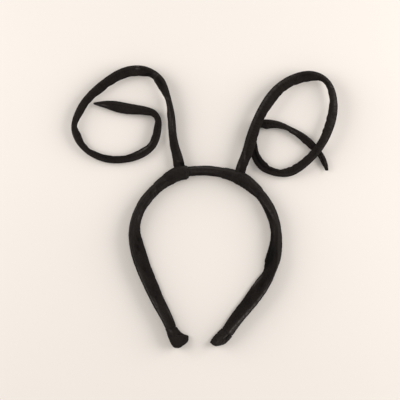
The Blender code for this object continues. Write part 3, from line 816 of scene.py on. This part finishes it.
def make_band():
    """The cloth-covered hoop, thinner inside its two cups."""
    inset = CAP_WALL + CLEARANCE
    distances = spread(inset, band_path.length - inset, BAND_STEP)
    stations = band_path.stations(distances)
    from_left, from_right = distances, band_path.length - distances
    inside = np.maximum(1 - ease((from_left - LEFT_CAP_LENGTH) / CLEARANCE),
                        1 - ease((from_right - RIGHT_CAP_LENGTH) / CLEARANCE))
    tips = np.where((from_left < from_right)[:, None],
                    tip_scale(from_left - inset, LEFT_TIP_ROUNDING),
                    tip_scale(from_right - inset, RIGHT_TIP_ROUNDING))
    skin = band_skin(distances, stations.columns, -inset * inside, -inset * inside, tips)
    width = stations.columns[:, 0] * BAND_DEPTH
    inward = band_inward(stations)
    space = place(stations, skin.outline, inward)
    slope = slope_share()
    hollow = np.sin(math.pi * slope ** 1.4) ** 1.3 * (slope > 0)
    slack = stations.columns[:, 4][:, None]
    variation = 1 + 0.3 * Waves(41, 0.015, 0.05, 1).at(distances[:, None])
    relief = -SLACK_DEPTH * slack * variation * hollow
    relief = relief + pucker_relief(skin, distances, stations.bend, width, 51)
    relief += cloth_relief(skin, distances, space, 61)
    relief += fold_relief(BAND_FOLDS, distances[:, None], skin.across, BAND_DEPTH)
    covered = np.maximum(inside, near_wraps(distances))[:, None]
    relief *= free_of_floor(skin) * (1 - covered)
    grid = place(stations, raise_skin(skin, relief), inward)
    loose = np.sqrt(np.sin(math.pi * slope)) * (slope > 0) * (0.35 + 0.65 * slack) * (1 - covered)
    # nap here holds painted light and shade; a painted highlight is added along the ridge's crest
    nap = painted_light_pattern(BAND_PAINTED_LIGHT_AND_SHADE, skin, distances, BAND_DEPTH)
    closed = close_ends(grid, CLEARANCE, CLEARANCE)
    piece = skin_object("hoop_cloth", closed, for_closed_ends(nap + PAINTED_RIDGE_HIGHLIGHT * ridge_share()))
    settle_cloth(piece, for_closed_ends(loose))
    return piece


def near_wraps(distances):
    """1 under the wraps, falling to 0 a little beyond their ends."""
    nearness = np.zeros(len(distances))
    for rows in (LEFT_WRAP_ROWS, RIGHT_WRAP_ROWS):
        outside = np.maximum(np.maximum(rows[0][0] - distances, distances - rows[-1][0]), 0)
        nearness = np.maximum(nearness, 1 - ease(outside / WRAP_FADE))
    return nearness


def settle_cloth(piece, loose):
    """Lets the loose cloth of a piece buckle by simulation, as cloth cut a little too large.

    The copy that is simulated is larger, because cloth as small as this is stiff to simulate.
    """
    scene = bpy.context.scene
    count = len(piece.data.vertices)
    start = np.empty(count * 3)
    piece.data.vertices.foreach_get("co", start)
    copy = bpy.data.objects.new("settling", piece.data.copy())
    scene.collection.objects.link(copy)
    copy.data.vertices.foreach_set("co", start * CLOTH_ENLARGED)
    held = copy.vertex_groups.new(name="held")
    weights = np.pad(1 - loose.ravel(), (0, count - loose.size), constant_values=1.0)
    for number, weight in enumerate(weights.tolist()):
        held.add([number], weight, "REPLACE")
    cloth = copy.modifiers.new("cloth", "CLOTH")
    settings = cloth.settings
    settings.quality = CLOTH_QUALITY
    settings.mass = CLOTH_MASS
    settings.tension_stiffness = settings.compression_stiffness = CLOTH_STRETCH
    settings.shear_stiffness = CLOTH_SHEAR
    settings.bending_stiffness = CLOTH_BENDING
    settings.shrink_min = settings.shrink_max = -CLOTH_SURPLUS
    settings.vertex_group_mass = "held"
    settings.pin_stiffness = 1.0
    settings.effector_weights.gravity = 0.0
    cloth.collision_settings.use_collision = False
    cloth.point_cache.frame_end = CLOTH_FRAMES
    for number in range(1, CLOTH_FRAMES + 1):
        scene.frame_set(number)
    settled = copy.evaluated_get(bpy.context.evaluated_depsgraph_get())
    ends = np.empty(count * 3)
    settled.data.vertices.foreach_get("co", ends)
    moves = (ends / CLOTH_ENLARGED - start).reshape(-1, 3)
    lengths = np.linalg.norm(moves, axis=1)[:, None]
    moves *= CLOTH_REACH * np.tanh(lengths / CLOTH_REACH) / np.maximum(lengths, 1e-9)
    piece.data.vertices.foreach_set("co", start + moves.ravel())
    piece.data.update()
    scene.frame_set(1)
    spent = copy.data
    bpy.data.objects.remove(copy)
    bpy.data.meshes.remove(spent)


def ridge_share():
    """1 on the top of the ridge, falling off to both sides of its arc, and 0 elsewhere."""
    share = np.zeros(slope_share().shape)
    arc = np.linspace(0, 1, BAND_ARC_STEPS + 1)
    share[:BAND_ARC_STEPS + 1] = np.exp(-((arc - PAINTED_RIDGE_HIGHLIGHT_PLACE) / PAINTED_RIDGE_HIGHLIGHT_REACH) ** 2)
    return share


def painted_light_pattern(rows, skin, along, width):
    """Painted light and shade from a table, on what faces up; the upright walls are left plain."""
    seen = ease((skin.facing[..., 1] + 0.1) / 0.5)
    return seen * fold_relief(rows, along[:, None], skin.across, width)


def for_closed_ends(values):
    """Values of a grid of rings, carried on over the rings that close its ends."""
    return np.pad(values, ((CLOSING_RINGS, CLOSING_RINGS), (0, 0)), mode="edge")


def make_cup(name, length, rounding, from_start, seed, folds, light_and_shade_rows):
    """A folded cloth cup over one end of the hoop, a little proud of the hoop's own cloth."""
    outer = spread(0.0, length, CUP_STEP)
    inner = spread(length, CAP_WALL, INNER_STEP)
    tips = tip_scale(np.concatenate((outer, inner - CAP_WALL)), rounding)
    from_tip = np.concatenate((outer, inner))
    is_outer = np.concatenate((np.ones(len(outer)), np.zeros(len(inner))))
    distances = from_tip if from_start else band_path.length - from_tip
    stations = band_path.stations(distances)
    mouth = ease((length - from_tip) / (CAP_WALL / 2)) * is_outer
    grow = np.where(is_outer > 0, CUP_PROUD * mouth - CAP_WALL / 2 * (1 - mouth), -CAP_WALL)
    skin = band_skin(distances, stations.columns, grow, grow, tips)
    inward = band_inward(stations)
    space = place(stations, skin.outline, inward)
    relief = CUP_UNEVENNESS * cloth_relief(skin, distances, space, seed)
    relief += fold_relief(folds, from_tip[:, None], skin.across, BAND_DEPTH)
    relief *= free_of_floor(skin) * is_outer[:, None]
    grid = place(stations, raise_skin(skin, relief), inward)
    # nap here holds painted highlights and painted shade
    nap = painted_light_pattern(light_and_shade_rows, skin, from_tip, BAND_DEPTH)
    closed = close_ends(grid, 2 * CUP_PROUD, CUP_PROUD)
    return skin_object(name, closed, for_closed_ends(nap))


def make_wrap(name, rows, seed, folds, light_and_shade_rows):
    """Cloth wrapped round the hoop where an antenna is sewn on, thickest beside the stem."""
    start, end = rows[0][0], rows[-1][0]
    outer = spread(start, end, BINDING_STEP)
    inner = spread(end, start, INNER_STEP)
    distances = np.concatenate((outer, inner))
    is_outer = np.concatenate((np.ones(len(outer)), np.zeros(len(inner))))
    stations = band_path.stations(distances)
    walls = [WRAP_GAP + is_outer * wall for wall in wrap_walls(rows, distances)]
    skin = band_skin(distances, stations.columns, *walls, np.ones((len(distances), 2)))
    inward = band_inward(stations)
    space = place(stations, skin.outline, inward)
    relief = WRAP_UNEVENNESS * cloth_relief(skin, distances, space, seed)
    relief += fold_relief(folds, distances[:, None], skin.across, BAND_DEPTH)
    edge = ease(np.minimum(distances - start, end - distances) / WRAP_EDGE)
    relief *= free_of_floor(skin) * (is_outer * edge)[:, None]
    relief = np.maximum(relief, -0.6 * (walls[0] - WRAP_GAP)[:, None])
    grid = place(stations, raise_skin(skin, relief), inward)
    # nap here holds painted highlights and painted shade
    nap = painted_light_pattern(light_and_shade_rows, skin, distances, BAND_DEPTH)
    return skin_object(name, grid, nap, looped=True)


def make_antenna(name, path, seed, folds, light_and_shade_rows):
    """A strip of cloth with a wire in its outer edge, from its root to its point."""
    distances = spread(FOOT_START, path.length, STRIP_STEP)
    stations = path.stations(distances)
    lift, share, drop = stations.columns.T
    taper = ease((path.length - distances) / TIP_TAPER) * (1 - TIP_POINT_SHARE) + TIP_POINT_SHARE
    wire, hem = WIRE_RADIUS * taper, HEM_RADIUS * taper
    level = LOW_LEVEL + lift * (HIGH_LEVEL - LOW_LEVEL)
    uneven = HEM_WANDER * taper * Waves(seed, 0.006, 0.02, 1).at(distances)
    hem_place = np.maximum(share * STRIP_WIDTH - hem + uneven, wire + hem)
    circles = np.stack((
        np.stack((wire, level, wire), axis=1),
        np.stack((hem_place, level - drop * STRIP_WIDTH, hem), axis=1),
    ), axis=1)
    outline = hull_outlines(circles, STRIP_ARC_STEPS, STRIP_RUN_STEPS)
    width = hem_place + hem
    skin = skin_of(outline, width)
    space = place(stations, outline)
    relief = pucker_relief(skin, distances, stations.bend, width, seed + 10)
    relief = relief + cloth_relief(skin, distances, space, seed + 20)
    from_wire = (outline[..., 0] - VALLEY_PLACE * wire[:, None]) / wire[:, None]
    stitched = (1 + 0.3 * np.cos(2 * math.pi * distances / STITCH_LENGTH)) * ease(share * 5 - 2)
    relief -= WIRE_VALLEY * np.exp(-from_wire ** 2 * VALLEY_SHARPNESS) * stitched[:, None]
    sway = 0.0006 * np.sin(distances * 90)[:, None]
    pleats = Waves(seed + 30, 0.0016, 0.0035, 1).at(outline[..., 0] + sway)
    relief += PLEAT_DEPTH * pleats * ease(skin.across * 2 - 0.5) * ease((0.9 - share) * 4)[:, None]
    relief += fold_relief(folds, distances[:, None], skin.across, STRIP_WIDTH)
    relief *= taper[:, None] * (0.3 + 0.7 * np.abs(skin.facing[..., 1]))
    grid = place(stations, raise_skin(skin, relief))
    closed = close_ends(grid, CLEARANCE, TIP_POINT_SHARE * WIRE_RADIUS)
    # A painted highlight along the crest over the wire, added to the table's painted light and shade
    crest = np.exp(-((skin.across - PAINTED_WIRE_HIGHLIGHT_PLACE) / PAINTED_WIRE_HIGHLIGHT_REACH) ** 2)
    crest *= skin.facing[..., 1] > 0
    nap = painted_light_pattern(light_and_shade_rows, skin, distances, STRIP_WIDTH)
    return skin_object(name, closed, for_closed_ends(nap + PAINTED_WIRE_HIGHLIGHT * crest))


def node_tree(name):
    material = bpy.data.materials.new(name)
    material.use_nodes = True
    return material, material.node_tree


def add_node(tree, kind, **settings):
    node = tree.nodes.new(kind)
    for key, value in settings.items():
        setattr(node, key, value)
    return node


def noise(tree, places, scale, detail, roughness):
    """A noise texture's value, from 0 to 1, at the places."""
    node = add_node(tree, "ShaderNodeTexNoise", noise_dimensions="3D")
    node.inputs["Scale"].default_value = scale
    node.inputs["Detail"].default_value = detail
    node.inputs["Roughness"].default_value = roughness
    tree.links.new(places, node.inputs["Vector"])
    return node.outputs["Fac"]


def feed(tree, value, socket):
    """Gives a socket a number, a colour or another node's output."""
    if isinstance(value, float):
        socket.default_value = value
    elif isinstance(value, tuple):
        socket.default_value = (*value, 1.0)
    else:
        tree.links.new(value, socket)


def ranged(tree, value, low, high, to_low=0.0, to_high=1.0):
    """The value with low to high stretched to to_low to to_high, and held there beyond."""
    node = add_node(tree, "ShaderNodeMapRange", clamp=True)
    numbers = {"From Min": low, "From Max": high, "To Min": to_low, "To Max": to_high}
    for name, number in {"Value": value, **numbers}.items():
        feed(tree, number, node.inputs[name])
    return node.outputs["Result"]


def times(tree, first, second):
    node = add_node(tree, "ShaderNodeMath", operation="MULTIPLY")
    feed(tree, first, node.inputs[0])
    feed(tree, second, node.inputs[1])
    return node.outputs["Value"]


def blended(tree, share, first, second):
    """A mix of two colours, each a colour or a socket."""
    node = add_node(tree, "ShaderNodeMix", data_type="RGBA")
    feed(tree, share, node.inputs["Factor"])
    feed(tree, first, node.inputs[6])
    feed(tree, second, node.inputs[7])
    return node.outputs[2]


def bump(tree, height, distance, strength, normal=None):
    node = add_node(tree, "ShaderNodeBump")
    node.inputs["Distance"].default_value = distance
    node.inputs["Strength"].default_value = strength
    tree.links.new(height, node.inputs["Height"])
    if normal is not None:
        tree.links.new(normal, node.inputs["Normal"])
    return node.outputs["Normal"]


RIB_LENGTH = 0.00060
SHEEN_WEIGHT = 0.03
SHEEN_ROUGHNESS = 0.45
SHEEN_TINT = (1.0, 0.93, 0.88, 1.0)
# Near black for painted shade
PAINTED_SHADE_COLOUR = (0.0009, 0.0007, 0.0006)
LINT_COLOUR = (0.12, 0.11, 0.10)


def short_nap_cloth(name, dark, light, speckle_and_highlight_colour, lint_share):
    """Black cloth with a short brushed nap over a fine rib, with painted highlights and painted shade.
    """
    material, tree = node_tree(name)
    shader = tree.nodes["Principled BSDF"]
    object_place = add_node(tree, "ShaderNodeTexCoord").outputs["Object"]
    cloth_place = add_node(tree, "ShaderNodeAttribute", attribute_name="cloth_place").outputs["Vector"]
    painted_light_and_shade = add_node(tree, "ShaderNodeAttribute", attribute_name="painted_light_and_shade").outputs["Fac"]
    mottle = noise(tree, object_place, 90.0, 3.0, 0.55)
    nap = noise(tree, object_place, 1500.0, 4.0, 0.7)
    colour = blended(tree, ranged(tree, mottle, 0.35, 0.65), dark, light)
    colour = blended(tree, ranged(tree, nap, 0.45, 0.75, 0.0, 0.25), colour, speckle_and_highlight_colour)
    # Below 0 the attribute darkens the cloth towards near black: painted shade.
    painted_shade = ranged(tree, painted_light_and_shade, 0.0, -1.0, 0.0, 0.75)
    colour = blended(tree, painted_shade, colour, PAINTED_SHADE_COLOUR)
    # Above 0 it lightens the cloth in flecks: painted highlights.
    flecks = noise(tree, object_place, 480.0, 2.0, 0.6)
    painted_highlight = times(tree, ranged(tree, painted_light_and_shade, 0.0, 1.0), ranged(tree, flecks, 0.38, 0.62, 0.25, 1.0))
    colour = blended(tree, painted_highlight, colour, speckle_and_highlight_colour)
    lint = ranged(tree, noise(tree, object_place, 2600.0, 1.0, 0.5), 0.74, 0.80)
    colour = blended(tree, times(tree, lint, lint_share), colour, LINT_COLOUR)
    tree.links.new(colour, shader.inputs["Base Color"])
    tree.links.new(ranged(tree, nap, 0.3, 0.7, 0.86, 0.98), shader.inputs["Roughness"])
    shader.inputs["Sheen Weight"].default_value = SHEEN_WEIGHT
    shader.inputs["Sheen Roughness"].default_value = SHEEN_ROUGHNESS
    shader.inputs["Sheen Tint"].default_value = SHEEN_TINT
    shader.inputs["Specular IOR Level"].default_value = 0.08
    ribbed = None
    for direction in ("X", "Y"):
        rib = add_node(tree, "ShaderNodeTexWave", wave_type="BANDS", bands_direction=direction)
        rib.inputs["Scale"].default_value = math.pi / (10 * RIB_LENGTH)
        rib.inputs["Distortion"].default_value = 0.6
        rib.inputs["Detail"].default_value = 2.0
        rib.inputs["Detail Scale"].default_value = 2.0
        tree.links.new(cloth_place, rib.inputs["Vector"])
        ribbed = bump(tree, rib.outputs["Fac"], 0.00007, 0.35, ribbed)
    napped = bump(tree, nap, 0.00022, 0.8, ribbed)
    tree.links.new(napped, shader.inputs["Normal"])
    return material


def floor_paper():
    """Plain warm white paper."""
    material, tree = node_tree("floor_paper")
    shader = tree.nodes["Principled BSDF"]
    grain = noise(tree, add_node(tree, "ShaderNodeTexCoord").outputs["Object"], 6.0, 2.0, 0.5)
    colour = blended(tree, grain, (0.770, 0.724, 0.678), (0.790, 0.744, 0.698))
    tree.links.new(colour, shader.inputs["Base Color"])
    shader.inputs["Roughness"].default_value = 0.85
    shader.inputs["Specular IOR Level"].default_value = 0.2
    return material


def make_floor():
    bpy.ops.mesh.primitive_plane_add(size=8.0)
    floor = bpy.context.object
    floor.name = "floor"
    floor.data.materials.append(floor_paper())


def make_camera():
    """Straight above, with the picture's width at the height of the cloth."""
    data = bpy.data.cameras.new("camera")
    data.sensor_width = SENSOR_WIDTH
    data.lens = SENSOR_WIDTH * VIEW_DISTANCE / VIEW_WIDTH
    camera = bpy.data.objects.new("camera", data)
    camera.location = (*VIEW_CENTRE, VIEW_PLANE + VIEW_DISTANCE)
    bpy.context.scene.collection.objects.link(camera)
    bpy.context.scene.camera = camera


def add_softbox(name, place_at, size, power, colour):
    data = bpy.data.lights.new(name, "AREA")
    data.shape = "DISK"
    data.size = size
    data.energy = power
    data.color = colour
    light = bpy.data.objects.new(name, data)
    light.location = place_at
    aim = Vector((0.0, 0.0, 0.0)) - light.location
    light.rotation_euler = aim.to_track_quat("-Z", "Y").to_euler()
    bpy.context.scene.collection.objects.link(light)


def light_studio():
    """A pale dome and two large softboxes, low on the left and on the right."""
    scene = bpy.context.scene
    scene.view_settings.view_transform = "Standard"
    world = bpy.data.worlds.new("studio")
    world.use_nodes = True
    background = world.node_tree.nodes["Background"]
    background.inputs["Color"].default_value = (1.0, 0.985, 0.96, 1.0)
    background.inputs["Strength"].default_value = 0.52
    scene.world = world
    add_softbox("left_softbox", (-1.0, 0.25, 0.46), 1.0, 11.0, (1.0, 0.98, 0.96))
    add_softbox("right_softbox", (1.0, 0.20, 0.48), 1.0, 13.5, (1.0, 0.98, 0.96))


def dress(piece, node, cloth):
    """Ties a piece to the frame: its body, the node it stands for and its cloth."""
    piece.data.materials.append(cloth)
    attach(piece, "root")
    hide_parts(node)


def frame_shift():
    """From the tables' own place to the frame: the hoop's sides and crown meet its node's box."""
    outer = band_path.stations(spread(0.0, band_path.length, BAND_STEP)).points
    low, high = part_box("band")
    across = (low[0] + high[0]) / 2 - (outer[:, 0].min() + outer[:, 0].max()) / 2
    return np.array((across, high[1] - outer[:, 1].max()))


def antenna_path(rows, curl_width, curl_length, root_share, inner_side):
    """An antenna's path, from its root on the hoop's outer edge."""
    root = band_path.stations(np.array([band_path.length * root_share])).points[0]
    return Path(rows, (curl_width, curl_length), root, inner_side)


make_camera()
light_studio()
make_floor()

band_path = Path(BAND_ROWS, (BAND_WIDTH / 2, BAND_LENGTH), (0.0, 0.0), 1)
left_path = antenna_path(LEFT_ROWS, LEFT_CURL_WIDTH, LEFT_CURL_LENGTH, LEFT_ROOT_SHARE, -1)
right_path = antenna_path(RIGHT_ROWS, RIGHT_CURL_WIDTH, RIGHT_CURL_LENGTH, RIGHT_ROOT_SHARE, 1)
shift = frame_shift()

# The third colour is for the nap's speckle and for painted highlights.
band_cloth = short_nap_cloth("band_cloth", (0.0056, 0.0041, 0.0035), (0.0098, 0.0074, 0.0064),
                             (0.072, 0.066, 0.063), 0.5)
antenna_cloth = short_nap_cloth("antenna_cloth", (0.0062, 0.0046, 0.0040), (0.0108, 0.0082, 0.0072),
                                (0.062, 0.055, 0.051), 0.6)
binding_cloth = short_nap_cloth("binding_cloth", (0.0062, 0.0047, 0.0041), (0.0108, 0.0084, 0.0075),
                                (0.066, 0.060, 0.057), 0.5)

dress(make_band(), "band", band_cloth)
dress(make_antenna("left_curl", left_path, 100, LEFT_ANTENNA_FOLDS, LEFT_ANTENNA_PAINTED_LIGHT_AND_SHADE),
      "left_antenna", antenna_cloth)
dress(make_antenna("right_curl", right_path, 200, RIGHT_ANTENNA_FOLDS, RIGHT_ANTENNA_PAINTED_LIGHT_AND_SHADE),
      "right_antenna", antenna_cloth)
dress(make_wrap("left_wrap", LEFT_WRAP_ROWS, 300, LEFT_WRAP_FOLDS, LEFT_WRAP_PAINTED_LIGHT_AND_SHADE),
      "left_root_sleeve", binding_cloth)
dress(make_wrap("right_wrap", RIGHT_WRAP_ROWS, 400, RIGHT_WRAP_FOLDS, RIGHT_WRAP_PAINTED_LIGHT_AND_SHADE),
      "right_root_sleeve", binding_cloth)
dress(make_cup("left_cup", LEFT_CAP_LENGTH, LEFT_TIP_ROUNDING, True, 500, LEFT_CUP_FOLDS,
               LEFT_CUP_PAINTED_LIGHT_AND_SHADE), "left_end_cap", binding_cloth)
dress(make_cup("right_cup", RIGHT_CAP_LENGTH, RIGHT_TIP_ROUNDING, False, 600, RIGHT_CUP_FOLDS,
               RIGHT_CUP_PAINTED_LIGHT_AND_SHADE), "right_end_cap", binding_cloth)
